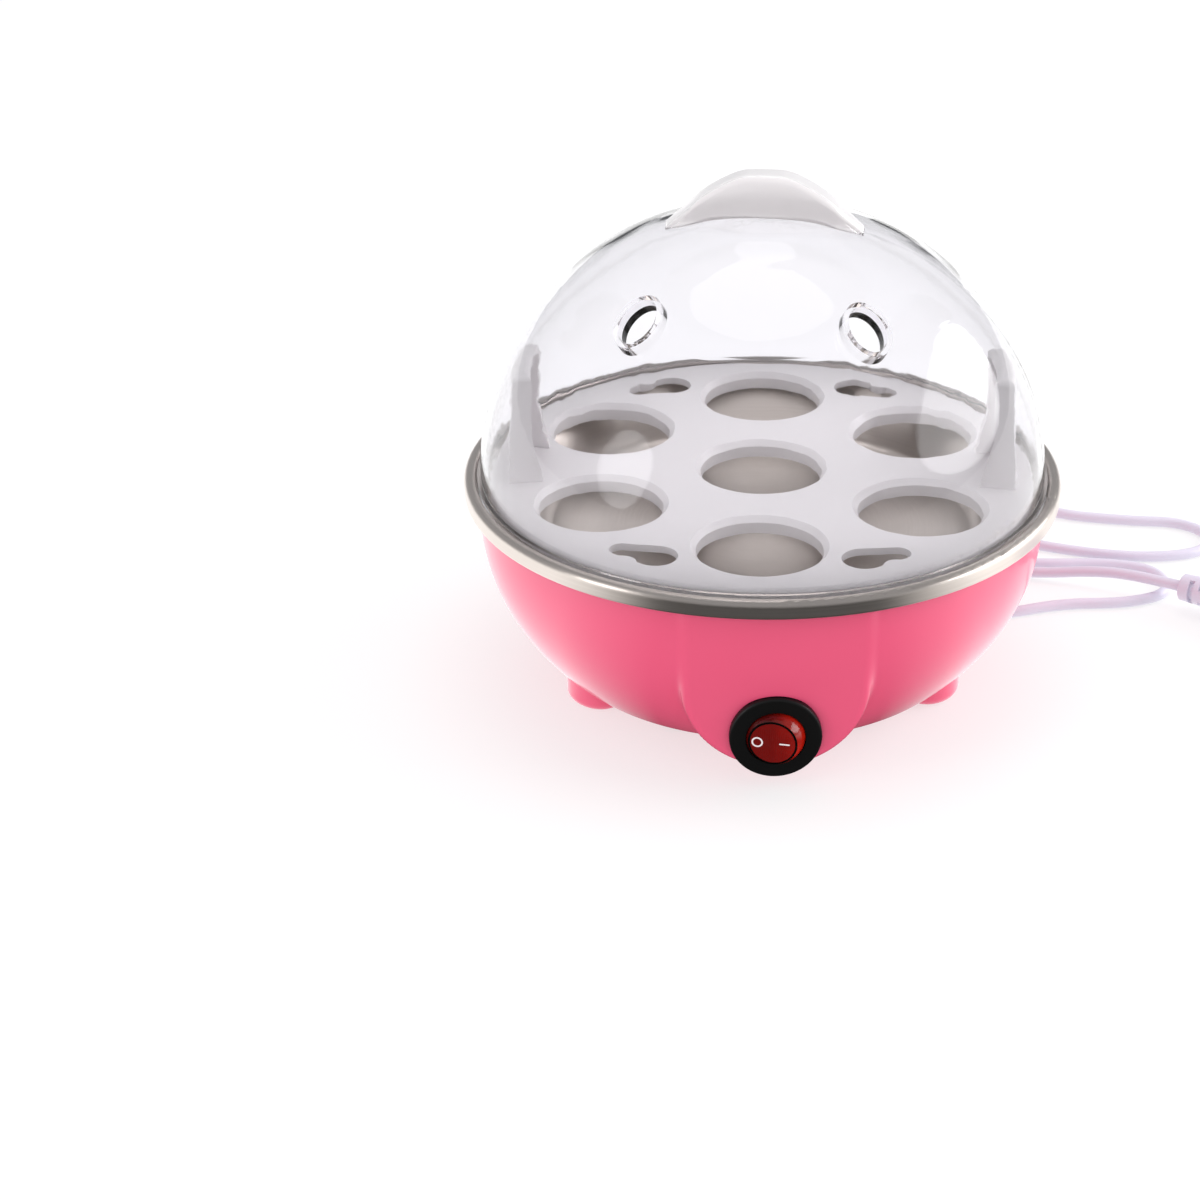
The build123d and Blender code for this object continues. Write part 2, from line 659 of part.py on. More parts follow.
FUSE_Y = -13.0
FUSE_Z = PLATE_UNDER - 2.8
FUSE_HALF = 12.5
with BuildPart() as thermal_fuse:
    with Locations((0, FUSE_Y, FUSE_Z)):
        Cylinder(2.0, 11, rotation=(0, 90, 0))
        Cylinder(0.6, 2 * FUSE_HALF, rotation=(0, 90, 0))
save(thermal_fuse, "thermal_fuse")

with BuildPart() as fuse_sleeve:
    with Locations((0, FUSE_Y, FUSE_Z)):
        Cylinder(2.7, 24, rotation=(0, 90, 0))
        Cylinder(2.15, 24, rotation=(0, 90, 0), mode=Mode.SUBTRACT)
save(fuse_sleeve, "fuse_sleeve")

# ---------------------------------------------------------------- cord entry
BUSH_INSIDE = BOWL_WALL + 0.5
with BuildPart() as cord_relief:
    with BuildSketch(RELIEF_PLANE.offset(-BUSH_INSIDE - BUSH_FLANGE_THICK)):
        Circle(BUSH_FLANGE_R)
    extrude(amount=BUSH_FLANGE_THICK)
    with BuildSketch(RELIEF_PLANE.offset(-BUSH_INSIDE)):
        Circle(BUSH_R)
    extrude(amount=BUSH_INSIDE + 0.5)
    with BuildSketch(RELIEF_PLANE.offset(0.15)):
        Circle(BUSH_FLANGE_R)
    extrude(amount=1.85)
    fillet(cord_relief.edges().sort_by(Axis.Y)[-1], 0.8)
    with BuildSketch(RELIEF_PLANE.offset(2.0)):
        Circle(SLEEVE_ROOT_R)
    with BuildSketch(RELIEF_PLANE.offset(RELIEF_LENGTH)):
        Circle(SLEEVE_TIP_R)
    loft()
    with BuildSketch(RELIEF_PLANE.offset(-10)):
        Circle(CORD_R)
    extrude(amount=RELIEF_LENGTH + 12, mode=Mode.SUBTRACT)
save(cord_relief, "cord_relief")

CORD_END_IN = 14.0
with BuildPart() as inner_cord:
    with BuildSketch(RELIEF_PLANE.offset(-CORD_END_IN)):
        Circle(CORD_R - 0.03)
    extrude(amount=CORD_END_IN + RELIEF_LENGTH)
save(inner_cord, "inner_cord")

with BuildPart() as cord_crimp:
    with BuildSketch(RELIEF_PLANE.offset(-BUSH_INSIDE - 7.3)):
        Circle(CRIMP_R)
        Circle(CORD_R, mode=Mode.SUBTRACT)
    extrude(amount=CRIMP_LONG)
save(cord_crimp, "cord_crimp")


# ---------------------------------------------------------------- wires, cord and plug
def run_radii(points):
    """Radius of each corner of a route: as large as its two runs allow."""
    spots = [Vector(*point) for point in points]
    sizes = []
    for before, here, after in zip(spots, spots[1:], spots[2:]):
        turn = (here - before).get_angle(after - here)
        shorter = min((here - before).length, (after - here).length)
        sizes.append(0.45 * shorter / tan(radians(turn / 2)))
    return sizes


def save_tube(points, radius, name):
    """Sweep a round tube along straight runs joined by tangent arcs, write it, and give its length and volume."""
    with BuildPart() as tube:
        with BuildLine() as route:
            FilletPolyline(*points, radius=run_radii(points))
        path = route.wires()[0]
        with BuildSketch(Plane(origin=path @ 0, z_dir=path % 0)):
            Circle(radius)
        sweep(path=path)
    save(tube, name)
    return path.length, tube.part.volume


def inner_point(x, depth):
    """A point behind the switch, on the line of its terminals."""
    spot = SWITCH_PLANE.origin + SWITCH_OUT * depth
    return (x, spot.Y, spot.Z)


def core_point(side, depth):
    """A point at the inner end of the cord, left or right of its axis."""
    spot = RELIEF_ROOT - RELIEF_DIR * depth
    return (side * CORE_APART / 2, spot.Y, spot.Z)


# each wire ends just short of the terminal or crimp it belongs to
END_GAP = 0.02
BEHIND_SLEEVE = SLEEVE_END - END_GAP
UNDER_CRIMP = PIN_BOTTOM - END_GAP
save_tube(
    [core_point(-1, 14.02), core_point(-1, 20), (-6, 44, 28), (-13, 30, 16), (-12.5, 6, 9),
     (-11, -22, 9), inner_point(-4.5, -32), inner_point(-4.5, BEHIND_SLEEVE)],
    WIRE_R, "live_wire",
)
save_tube(
    [core_point(1, 14.02), core_point(1, 20), (6, 44, 29), (10.5, 34, 18),
     (9.3, 25, 12), (9.3, LEG_Y, 15), (9.3, LEG_Y, UNDER_CRIMP)],
    WIRE_R, "neutral_wire",
)
save_tube(
    [(7.1, LEG_Y, UNDER_CRIMP), (7.1, LEG_Y, 14), (8.5, 10, 8.5), (10, -20, 9),
     inner_point(4.5, -32), inner_point(4.5, BEHIND_SLEEVE)],
    WIRE_R, "lamp_wire",
)
save_tube(
    [inner_point(0, BEHIND_SLEEVE), inner_point(0, -32), (-2, -18, 12), (-THERMOSTAT_BLADE_X, 2, 11),
     (-THERMOSTAT_BLADE_X, THERMOSTAT_Y, 13), (-THERMOSTAT_BLADE_X, THERMOSTAT_Y, UNDER_CRIMP)],
    WIRE_R, "switched_wire",
)
save_tube(
    [(THERMOSTAT_BLADE_X, THERMOSTAT_Y, UNDER_CRIMP), (THERMOSTAT_BLADE_X, THERMOSTAT_Y, 17),
     (10, 4, 17), (18, -7, 25), (18, FUSE_Y, FUSE_Z), (FUSE_HALF + END_GAP, FUSE_Y, FUSE_Z)],
    WIRE_R, "fuse_wire",
)
save_tube(
    [(-FUSE_HALF - END_GAP, FUSE_Y, FUSE_Z), (-18, FUSE_Y, FUSE_Z), (-19, -6, 25), (-17, 9, 17),
     (-LEG_X, LEG_Y - 3, 13), (-LEG_X, LEG_Y, 16), (-LEG_X, LEG_Y, UNDER_CRIMP)],
    WIRE_R, "element_wire",
)

# the cord lies in loose loops behind and to the right of the bowl
LAY_Z = CORD_R
PLUG_Z = 7.2
PLUG_START = (124.4, 25.3, PLUG_Z)
touch_down = RELIEF_TIP + RELIEF_DIR * ((LAY_Z - RELIEF_TIP.Z) / RELIEF_DIR.Z)
CORD_ROUTE = [
    (0, RELIEF_TIP.Y, RELIEF_TIP.Z),
    (0, touch_down.Y, LAY_Z),
    (-11, 115, LAY_Z),
    (-32, 124, LAY_Z),
    (-43, 140, LAY_Z),
    (-36, 158, LAY_Z),
    (-15, 165, LAY_Z),
    (18, 160, LAY_Z),
    (49, 141, LAY_Z),
    (72, 111, LAY_Z),
    (95, 87, LAY_Z),
    (119, 81, LAY_Z),
    (135, 79.5, LAY_Z),
    (143, 68.5, LAY_Z),
    (136, 57, LAY_Z),
    (114, 55.5, LAY_Z),
    (85, 66, LAY_Z),
    (57, 85, LAY_Z),
    (35, 92.5, LAY_Z),
    (18.5, 86, LAY_Z),
    (16, 69.5, LAY_Z),
    (30, 59.5, LAY_Z),
    (58, 58, LAY_Z),
    (86, 52, LAY_Z),
    (108, 52.5, LAY_Z),
    (122, 46.5, LAY_Z),
    (123, 32, LAY_Z),
    (109, 26, LAY_Z),
    (90, 26.5, LAY_Z),
    (70, 19.5, LAY_Z),
    (53.5, 25.5, LAY_Z),
    (52.5, 42, LAY_Z),
    (67.5, 50.5, LAY_Z),
    (86, 45, LAY_Z + 0.6),
    (102, 39, LAY_Z + 4.2),
    (114, 32.2, PLUG_Z),
    PLUG_START,
]
cord_length, cord_volume = save_tube(CORD_ROUTE, CORD_R, "power_cord")
print("cord radii", [round(size, 1) for size in run_radii(CORD_ROUTE)])
print("cord length", round(cord_length, 1), "volume over section", round(cord_volume / (pi * CORD_R**2), 1))

PLUG_DIR = Vector(10.4, -6.9, 0).normalized()
PLUG_PLANE = Plane(origin=PLUG_START, x_dir=(-PLUG_DIR.Y, PLUG_DIR.X, 0), z_dir=PLUG_DIR)
PLUG_RELIEF_LENGTH = 26.0
PLUG_LENGTH = 32.0
PLUG_WIDE = 24.0
PIN_APART = 12.7
PIN_SECTION = (1.5, 6.3)
PIN_LONG = 16.0
PLUG_CORNER = 5.0
PLUG_FLARE = 12.0
PLUG_SLEEVE_ROOT_R = 3.9
PLUG_SLEEVE_END_R = 5.2
SLEEVE_SLOTS = 5
SLEEVE_SLOT_PITCH = 4.0
SLEEVE_SLOT_WIDE = 1.4

with BuildPart() as plug_relief:
    with BuildSketch(PLUG_PLANE):
        Circle(PLUG_SLEEVE_ROOT_R)
    with BuildSketch(PLUG_PLANE.offset(PLUG_RELIEF_LENGTH)):
        Circle(PLUG_SLEEVE_END_R)
    loft()
    for k in range(SLEEVE_SLOTS):
        with BuildSketch(PLUG_PLANE.offset(5 + SLEEVE_SLOT_PITCH * k)):
            Circle(7)
            Circle(3.0 + 0.2 * k, mode=Mode.SUBTRACT)
        extrude(amount=SLEEVE_SLOT_WIDE, mode=Mode.SUBTRACT)
save(plug_relief, "plug_relief")

with BuildPart() as plug_body:
    with BuildSketch(PLUG_PLANE.offset(PLUG_RELIEF_LENGTH)):
        RectangleRounded(PLUG_WIDE - 6, 2 * PLUG_Z - 3, PLUG_CORNER)
    with BuildSketch(PLUG_PLANE.offset(PLUG_RELIEF_LENGTH + PLUG_FLARE)):
        RectangleRounded(PLUG_WIDE, 2 * PLUG_Z, PLUG_CORNER)
    loft()
    with BuildSketch(PLUG_PLANE.offset(PLUG_RELIEF_LENGTH + PLUG_FLARE)):
        RectangleRounded(PLUG_WIDE, 2 * PLUG_Z, PLUG_CORNER)
    extrude(amount=PLUG_LENGTH - PLUG_FLARE)
    fillet(plug_body.faces().sort_by(Axis.X)[-1].edges(), 1.2)
save(plug_body, "plug_body")

with BuildPart() as plug_pins:
    with BuildSketch(PLUG_PLANE.offset(PLUG_RELIEF_LENGTH + PLUG_LENGTH)):
        with Locations((-PIN_APART / 2, 0), (PIN_APART / 2, 0)):
            Rectangle(*PIN_SECTION)
    extrude(amount=PIN_LONG)
    chamfer(plug_pins.faces().group_by(Axis.X)[-1].edges(), 0.4)
save(plug_pins, "plug_pins")
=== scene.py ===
"""Looks of the egg cooker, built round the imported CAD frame. Metres, +Z up, switch towards -Y."""
import json
from math import cos, pi, radians, sin, sqrt

import bmesh
import bpy
import numpy as np
from mathutils import Matrix, Quaternion, Vector


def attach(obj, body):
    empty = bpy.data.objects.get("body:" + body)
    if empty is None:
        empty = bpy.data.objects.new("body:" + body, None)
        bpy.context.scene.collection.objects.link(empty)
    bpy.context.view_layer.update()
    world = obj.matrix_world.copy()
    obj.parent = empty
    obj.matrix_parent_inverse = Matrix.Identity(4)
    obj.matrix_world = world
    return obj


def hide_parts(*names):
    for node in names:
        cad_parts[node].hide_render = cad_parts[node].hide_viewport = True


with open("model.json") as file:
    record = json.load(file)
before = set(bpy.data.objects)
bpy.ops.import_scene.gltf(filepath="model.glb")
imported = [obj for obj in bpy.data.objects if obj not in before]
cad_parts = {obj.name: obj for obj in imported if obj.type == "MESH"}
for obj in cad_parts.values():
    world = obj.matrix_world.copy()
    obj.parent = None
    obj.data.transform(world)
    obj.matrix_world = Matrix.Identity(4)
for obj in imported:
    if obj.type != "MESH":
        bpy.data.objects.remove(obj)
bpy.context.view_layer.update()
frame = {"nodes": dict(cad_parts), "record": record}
MM = 0.001

# ---------------------------------------------------------------- places
SWITCH_TILT = radians(3.5)
SWITCH_AT = np.array([0, -71.8, 15.7])
SWITCH_OUT = np.array([0, -cos(SWITCH_TILT), -sin(SWITCH_TILT)])
SWITCH_UP = np.array([0, -sin(SWITCH_TILT), cos(SWITCH_TILT)])
SWITCH_RIGHT = np.array([1.0, 0, 0])
RIM_HEIGHT = 0.054
RELIEF_ROOT = np.array([0, 68.97, 20.0])
RELIEF_OUT = np.array([0, 0.8456, -0.5338])


# ---------------------------------------------------------------- camera
def make_camera():
    """The photograph's view: 25 degrees down, a little from the left, with the cooker right of the middle."""
    distance, down, round_left = 0.8, radians(24.97), radians(3.8)
    pan, dip, roll = radians(3.17), radians(2.30), radians(0.74)
    back = Vector((-sin(round_left) * cos(down), -cos(round_left) * cos(down), sin(down)))
    data = bpy.data.cameras.new("camera")
    data.lens = 87.03
    data.sensor_width = 36.0
    data.clip_start, data.clip_end = 0.01, 50.0
    camera = bpy.data.objects.new("camera", data)
    bpy.context.scene.collection.objects.link(camera)
    looking = back.to_track_quat("Z", "Y")
    aside = Quaternion((0, 1, 0), pan) @ Quaternion((1, 0, 0), -dip)
    camera.rotation_mode = "QUATERNION"
    camera.rotation_quaternion = looking @ Quaternion((0, 0, 1), roll) @ aside
    camera.location = Vector((0, 0, RIM_HEIGHT)) + distance * back
    bpy.context.scene.camera = camera


make_camera()


# ---------------------------------------------------------------- materials
class Surface:
    """A node material built round one Principled shader."""

    def __init__(self, name, **values):
        self.mat = bpy.data.materials.new(name)
        self.mat.use_nodes = True
        self.nodes = self.mat.node_tree.nodes
        self.shader = self.nodes["Principled BSDF"]
        self.where = self.node("ShaderNodeTexCoord").outputs["Object"]
        for socket, value in values.items():
            self.shader.inputs[socket.replace("_", " ")].default_value = value

    def node(self, kind, **inputs):
        made = self.nodes.new(kind)
        for socket, value in inputs.items():
            self.feed(made.inputs[socket.replace("_", " ")], value)
        return made

    def feed(self, socket, value):
        if isinstance(value, bpy.types.NodeSocket):
            self.mat.node_tree.links.new(value, socket)
        else:
            socket.default_value = value

    def math(self, operation, a, b=0.0):
        made = self.nodes.new("ShaderNodeMath")
        made.operation = operation
        self.feed(made.inputs[0], a)
        self.feed(made.inputs[1], b)
        return made.outputs[0]

    def noise(self, scale, detail=3.0, where=None, roughness=0.5):
        made = self.node("ShaderNodeTexNoise", Scale=scale, Detail=detail, Roughness=roughness)
        self.feed(made.inputs["Vector"], where or self.where)
        return made.outputs["Fac"]

    def spread(self, value, low, high, start=0.15, end=0.85):
        made = self.node("ShaderNodeMapRange")
        for k, number in zip(range(1, 5), (start, end, low, high)):
            made.inputs[k].default_value = number
        self.feed(made.inputs[0], value)
        return made.outputs[0]

    def colours(self, value, dark, light, start=0.15, end=0.85):
        ramp = self.nodes.new("ShaderNodeValToRGB")
        ramp.color_ramp.elements[0].position = start
        ramp.color_ramp.elements[0].color = (*dark, 1)
        ramp.color_ramp.elements[1].position = end
        ramp.color_ramp.elements[1].color = (*light, 1)
        self.feed(ramp.inputs["Fac"], value)
        self.feed(self.shader.inputs["Base Color"], ramp.outputs["Color"])

    def rough(self, value, low, high):
        self.feed(self.shader.inputs["Roughness"], self.spread(value, low, high))

    def bump(self, height, strength, distance):
        made = self.node("ShaderNodeBump", Strength=strength, Distance=distance, Height=height)
        self.feed(self.shader.inputs["Normal"], made.outputs["Normal"])
        return made

    def around(self, turn=1.0, out=1.0, up=1.0, middle=(0.0, 0.0)):
        """Cylinder coordinates about an upright axis, for lathe-turned or brushed surfaces."""
        split = self.node("ShaderNodeSeparateXYZ", Vector=self.where)
        x = self.math("SUBTRACT", split.outputs["X"], middle[0])
        y = self.math("SUBTRACT", split.outputs["Y"], middle[1])
        angle = self.math("ARCTAN2", y, x)
        square = self.math("ADD", self.math("MULTIPLY", x, x), self.math("MULTIPLY", y, y))
        made = self.node("ShaderNodeCombineXYZ")
        self.feed(made.inputs["X"], self.math("MULTIPLY", angle, turn))
        self.feed(made.inputs["Y"], self.math("MULTIPLY", self.math("SQRT", square), out))
        self.feed(made.inputs["Z"], self.math("MULTIPLY", split.outputs["Z"], up))
        return made.outputs["Vector"]


def plastic(name, dark, light, rough=(0.29, 0.38), grain=2500.0, relief=0.00002, **values):
    """Moulded plastic: slightly uneven colour and gloss, and a very fine skin."""
    made = Surface(name, **values)
    made.colours(made.noise(18.0), dark, light)
    made.rough(made.noise(60.0), *rough)
    made.bump(made.noise(grain, detail=2.0), 0.25, relief)
    return made.mat


def metal(name, dark, light, rough=(0.29, 0.4), scale=400.0, relief=0.00003):
    """Plain metal stock with fine working marks."""
    made = Surface(name, Metallic=1.0)
    made.colours(made.noise(scale / 6), dark, light)
    made.rough(made.noise(scale / 2), *rough)
    made.bump(made.noise(scale * 6), 0.3, relief)
    return made.mat


def brushed_steel():
    """Stainless sheet brushed round the axis."""
    made = Surface("brushed_steel", Metallic=1.0, Anisotropic=0.7, Anisotropic_Rotation=0.25)
    lines = made.noise(1.0, detail=4.0, where=made.around(1.6, 2600.0, 2600.0))
    clouds = made.noise(1.0, where=made.around(2.0, 30.0, 30.0))
    grain = made.math("MULTIPLY", made.math("ADD", lines, clouds), 0.5)
    made.colours(grain, (0.56, 0.50, 0.455), (0.74, 0.68, 0.635))
    made.rough(lines, 0.29, 0.38)
    made.bump(lines, 0.10, 0.00002)
    tangent = made.node("ShaderNodeTangent")
    tangent.direction_type = "RADIAL"
    tangent.axis = "Z"
    made.feed(made.shader.inputs["Tangent"], tangent.outputs["Tangent"])
    return made.mat


def clear_plastic():
    """Polished clear plastic, with faint ripples left by moulding near the crown."""
    made = Surface("clear_plastic", Transmission_Weight=1.0, IOR=1.32)
    made.colours(made.noise(12.0), (0.952, 0.946, 0.966), (0.960, 0.954, 0.972))
    made.rough(made.noise(25.0), 0.02, 0.06)
    split = made.node("ShaderNodeSeparateXYZ", Vector=made.where)
    crown = made.spread(split.outputs["Z"], 0.0, 1.0, start=0.112, end=0.126)
    ripples = made.math("MULTIPLY", made.noise(55.0, detail=1.0), crown)
    made.bump(ripples, 0.5, 0.0012)
    return made.mat


def milky_plastic():
    """Thick moulded plastic that lets light through but no image."""
    made = Surface("milky_plastic", Transmission_Weight=0.45, IOR=1.35)
    made.colours(made.noise(30.0), (0.90, 0.87, 0.88), (0.94, 0.91, 0.92))
    made.rough(made.noise(80.0), 0.29, 0.36)
    made.bump(made.noise(1800.0), 0.2, 0.00003)
    return made.mat


def clear_red(name, dark, light, clearness):
    """Clear red plastic with uneven patches of tone, its colour painted brighter towards +X and darker
    towards -X: painted light and shade.
    """
    made = Surface(name, Transmission_Weight=clearness, IOR=1.49)
    split = made.node("ShaderNodeSeparateXYZ", Vector=made.where)
    # painted light and shade: the colour darkens towards -X and brightens towards +X across the switch
    painted_light_side = made.spread(split.outputs["X"], 0.0, 1.0, start=-0.004, end=0.007)
    patches = made.spread(made.noise(260.0, detail=1.0), 0.35, 1.0)
    made.colours(made.math("MULTIPLY", painted_light_side, patches), dark, light)
    made.rough(made.noise(300.0), 0.08, 0.2)
    made.bump(made.noise(420.0, detail=1.0), 0.3, 0.0003)
    return made.mat


MARK_WHITE = plastic("mark_white", (0.80, 0.72, 0.74), (0.88, 0.82, 0.84), (0.4, 0.5))
ROCKER_BODY = clear_red("red_body", (0.12, 0.002, 0.001), (0.95, 0.02, 0.005), 0.45)
GRIP_PLASTIC = milky_plastic()
MATERIALS = {
    "pink_shell": plastic(
        "pink_plastic", (0.81, 0.088, 0.190), (0.84, 0.096, 0.205), (0.29, 0.34), 900.0, 0.000003,
        Coat_Weight=0.45, Coat_Roughness=0.08,
    ),
    "steel": brushed_steel(),
    "zinc": metal("zinc_plate", (0.46, 0.46, 0.44), (0.62, 0.61, 0.57)),
    "white_tray": plastic("white_plastic", (0.80, 0.77, 0.78), (0.83, 0.80, 0.81), (0.28, 0.38)),
    "clear_lid": clear_plastic(),
    "black_bezel": plastic(
        "black_plastic", (0.003, 0.003, 0.003), (0.006, 0.006, 0.006), (0.34, 0.46), Specular_IOR_Level=0.3,
    ),
    "red_rocker": clear_red("red_cap", (0.18, 0.003, 0.002), (0.36, 0.007, 0.003), 0.15),
    "lamp_glass": plastic(
        "neon_glass", (0.75, 0.30, 0.15), (0.85, 0.42, 0.25), (0.05, 0.1), Transmission_Weight=0.6,
    ),
    "brass": metal("brass", (0.62, 0.42, 0.16), (0.78, 0.56, 0.25)),
    "cast_alloy": metal("cast_alloy", (0.45, 0.45, 0.46), (0.60, 0.60, 0.61), (0.42, 0.6), 200.0, 0.0001),
    "tube_sheath": metal("tube_sheath", (0.34, 0.33, 0.32), (0.48, 0.47, 0.46), (0.35, 0.5)),
    "thermostat_case": plastic("phenolic", (0.03, 0.024, 0.02), (0.06, 0.05, 0.04), (0.35, 0.5)),
    "clear_sleeve": plastic("nylon", (0.72, 0.71, 0.66), (0.82, 0.81, 0.77), (0.3, 0.4)),
    "glass_sleeve": plastic(
        "glass_braid", (0.70, 0.69, 0.62), (0.86, 0.85, 0.80), (0.6, 0.8), 1500.0, 0.0002,
    ),
    "white_cord": plastic("white_pvc", (0.64, 0.61, 0.73), (0.70, 0.67, 0.78), (0.30, 0.42)),
    "wire_red": plastic("red_silicone", (0.42, 0.02, 0.015), (0.55, 0.03, 0.02), (0.4, 0.5)),
    "wire_blue": plastic("blue_silicone", (0.02, 0.05, 0.28), (0.03, 0.08, 0.38), (0.4, 0.5)),
    "wire_white": plastic("white_silicone", (0.70, 0.68, 0.62), (0.80, 0.78, 0.73), (0.4, 0.5)),
    "nickel": metal("nickel", (0.60, 0.58, 0.54), (0.74, 0.72, 0.68), (0.16, 0.26)),
}


def dress_frame():
    """Every CAD node takes the material of its slot."""
    for part in frame["record"]["subparts"]:
        node = frame["nodes"][part["node"]]
        node.data.materials.clear()
        node.data.materials.append(MATERIALS[part["material_slot"]])


dress_frame()


# ---------------------------------------------------------------- mesh helpers
def finish_piece(piece, slot, body="root", stands_for=()):
    """Give a piece its slot's material, hang it on its body, and hide the CAD parts it stands for."""
    if not any(piece.data.materials):
        piece.data.materials.clear()
        piece.data.materials.append(MATERIALS[slot])
    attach(piece, body)
    if stands_for:
        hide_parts(*stands_for)
    return piece


def new_object(name, data):
    """An object in the scene that holds the data."""
    piece = bpy.data.objects.new(name, data)
    bpy.context.scene.collection.objects.link(piece)
    return piece


def mesh_piece(name, points, faces, sharp_degrees=40):
    """A mesh object from points in millimetres, smooth except across sharp edges."""
    mesh = bpy.data.meshes.new(name)
    mesh.from_pydata((np.asarray(points, float) * MM).tolist(), [], faces)
    mesh.validate()
    shade(mesh, sharp_degrees)
    return new_object(name, mesh)


def shade(mesh, sharp_degrees):
    """Shade smooth, but for edges sharper than an angle."""
    mesh.shade_smooth()
    mesh.set_sharp_from_angle(angle=radians(sharp_degrees))


def grid_faces(rows, columns, start=0):
    """Quads between rings of points, laid out ring by ring."""
    faces = []
    for r in range(rows - 1):
        for c in range(columns):
            d = (c + 1) % columns
            a, b = start + r * columns, start + (r + 1) * columns
            faces.append((a + c, a + d, b + d, b + c))
    return faces


def tube_faces(rows, columns):
    """Faces of a closed form whose rings are filled flat at both ends."""
    ends = [tuple(reversed(range(columns))), tuple(range((rows - 1) * columns, rows * columns))]
    return grid_faces(rows, columns) + ends


# ---------------------------------------------------------------- bowl
BOWL_R, BOWL_DROP, BOWL_MID, BOWL_TOP, BOWL_BOTTOM, BOWL_WALL = 77.3, 62.0, 48.0, 55.4, 2.0, 2.2
BOWL_SOLE_ROUND = 4.0
BOSS_HALF, BOSS_ARC_UP, BOSS_ROUND, BOSS_DEPTH, BOSS_HOLLOW = 24.5, 13.5, 2.6, 22.0, 2.0


def round_out(a, b, radius):
    """Intersection of two distances with a rounded edge."""
    inner = np.minimum(np.maximum(a, b) + radius, 0.0)
    outer = np.hypot(np.maximum(a + radius, 0.0), np.maximum(b + radius, 0.0))
    return inner + outer - radius


def blend_in(a, b, size):
    """Union of two distances with a soft hollow between them."""
    near = np.maximum(size - np.abs(a - b), 0.0) / size
    return np.minimum(a, b) - near * near * size / 4


def bowl_skin(p):
    """Distance outside the bowl's skin, boss included, for points in millimetres."""
    radius = np.hypot(p[..., 0], p[..., 1])
    drop = np.minimum(p[..., 2] - BOWL_MID, 0.0)
    k0 = np.hypot(radius / BOWL_R, drop / BOWL_DROP)
    k1 = np.hypot(radius / BOWL_R**2, drop / BOWL_DROP**2)
    bowl = round_out((k0 - 1) * k0 / k1, BOWL_BOTTOM - p[..., 2], BOWL_SOLE_ROUND)
    from_switch = p - SWITCH_AT
    across, up, out = from_switch[..., 0], from_switch @ SWITCH_UP, from_switch @ SWITCH_OUT
    below = np.minimum(up - BOSS_ARC_UP, 0.0)
    outline = np.hypot(across, below) - BOSS_HALF
    boss = np.maximum(round_out(outline, out, BOSS_ROUND), -out - BOSS_DEPTH)
    return blend_in(bowl, boss, BOSS_HOLLOW)


def cast_skin(inset):
    """Points where rays from the bowl's axis leave its skin, inset, as rows from the rim to the bottom."""
    edge, middle = np.arange(-29, -14, 0.25), np.arange(-14, 14, 0.7)
    near_boss = np.concatenate([edge, middle, np.arange(14, 29.01, 0.25)])
    around = np.radians(np.concatenate([-90 + near_boss, np.arange(-59.5, 240, 1.5)]))
    levels = np.arange(BOWL_TOP, 31, -0.9)
    falls = np.concatenate([np.arange(0, 14, 0.8), np.arange(14, 28, 0.25), np.arange(28, 88, 1.6), [89.0]])
    heights = np.concatenate([levels, np.full(len(falls), 30.0)])
    dips = np.radians(np.concatenate([np.zeros(len(levels)), falls]))
    start = np.zeros((len(heights), len(around), 3))
    start[..., 2] = heights[:, None]
    way = np.stack([
        np.cos(dips)[:, None] * np.cos(around),
        np.cos(dips)[:, None] * np.sin(around),
        -np.sin(dips)[:, None] * np.ones_like(around),
    ], axis=-1)
    low, high = np.full(way.shape[:2], 5.0), np.full(way.shape[:2], 120.0)
    for _ in range(40):
        middle = (low + high) / 2
        outside = bowl_skin(start + way * middle[..., None]) + inset > 0
        low, high = np.where(outside, low, middle), np.where(outside, middle, high)
    return start + way * low[..., None]


def cutter(name, radius, length, place, turn=Quaternion(), segments=96):
    """A rod used to cut or to add to a piece: its axis is local Z, from its place on."""
    bm = bmesh.new()
    wide, deep = radius * MM, length * MM
    bmesh.ops.create_cone(bm, cap_ends=True, segments=segments, radius1=wide, radius2=wide, depth=deep)
    bmesh.ops.translate(bm, verts=bm.verts, vec=(0, 0, deep / 2))
    mesh = bpy.data.meshes.new(name)
    bm.to_mesh(mesh)
    bm.free()
    mesh.transform(Matrix.Translation(Vector(place) * MM) @ turn.to_matrix().to_4x4())
    return new_object(name, mesh)


def combine(piece, others, operation):
    """Cut others from a piece, or join them to it, and drop them."""
    for other in others:
        step = piece.modifiers.new("combine", "BOOLEAN")
        step.operation = operation
        step.solver = "MANIFOLD"
        step.object = other
    flat = bpy.context.evaluated_depsgraph_get()
    mesh = bpy.data.meshes.new_from_object(piece.evaluated_get(flat))
    piece.modifiers.clear()
    piece.data = mesh
    for other in others:
        bpy.data.objects.remove(other)


def skin_solid(name, inset, lift=0.0):
    """A closed solid inside the bowl's skin, inset from it, its flat top raised by a lift."""
    skin = cast_skin(inset)
    skin[0, :, 2] += lift
    rows, columns = skin.shape[:2]
    points = [*skin.reshape(-1, 3), (0, 0, skin[-1, :, 2].mean()), (0, 0, skin[0, 0, 2])]
    faces = [tuple(reversed(face)) for face in grid_faces(rows, columns)]
    ring = (rows - 1) * columns
    for c in range(columns):
        d = (c + 1) % columns
        faces.append((ring + d, ring + c, rows * columns))
        faces.append((c, d, rows * columns + 1))
    return mesh_piece(name, points, faces, SEAM_DEGREES)


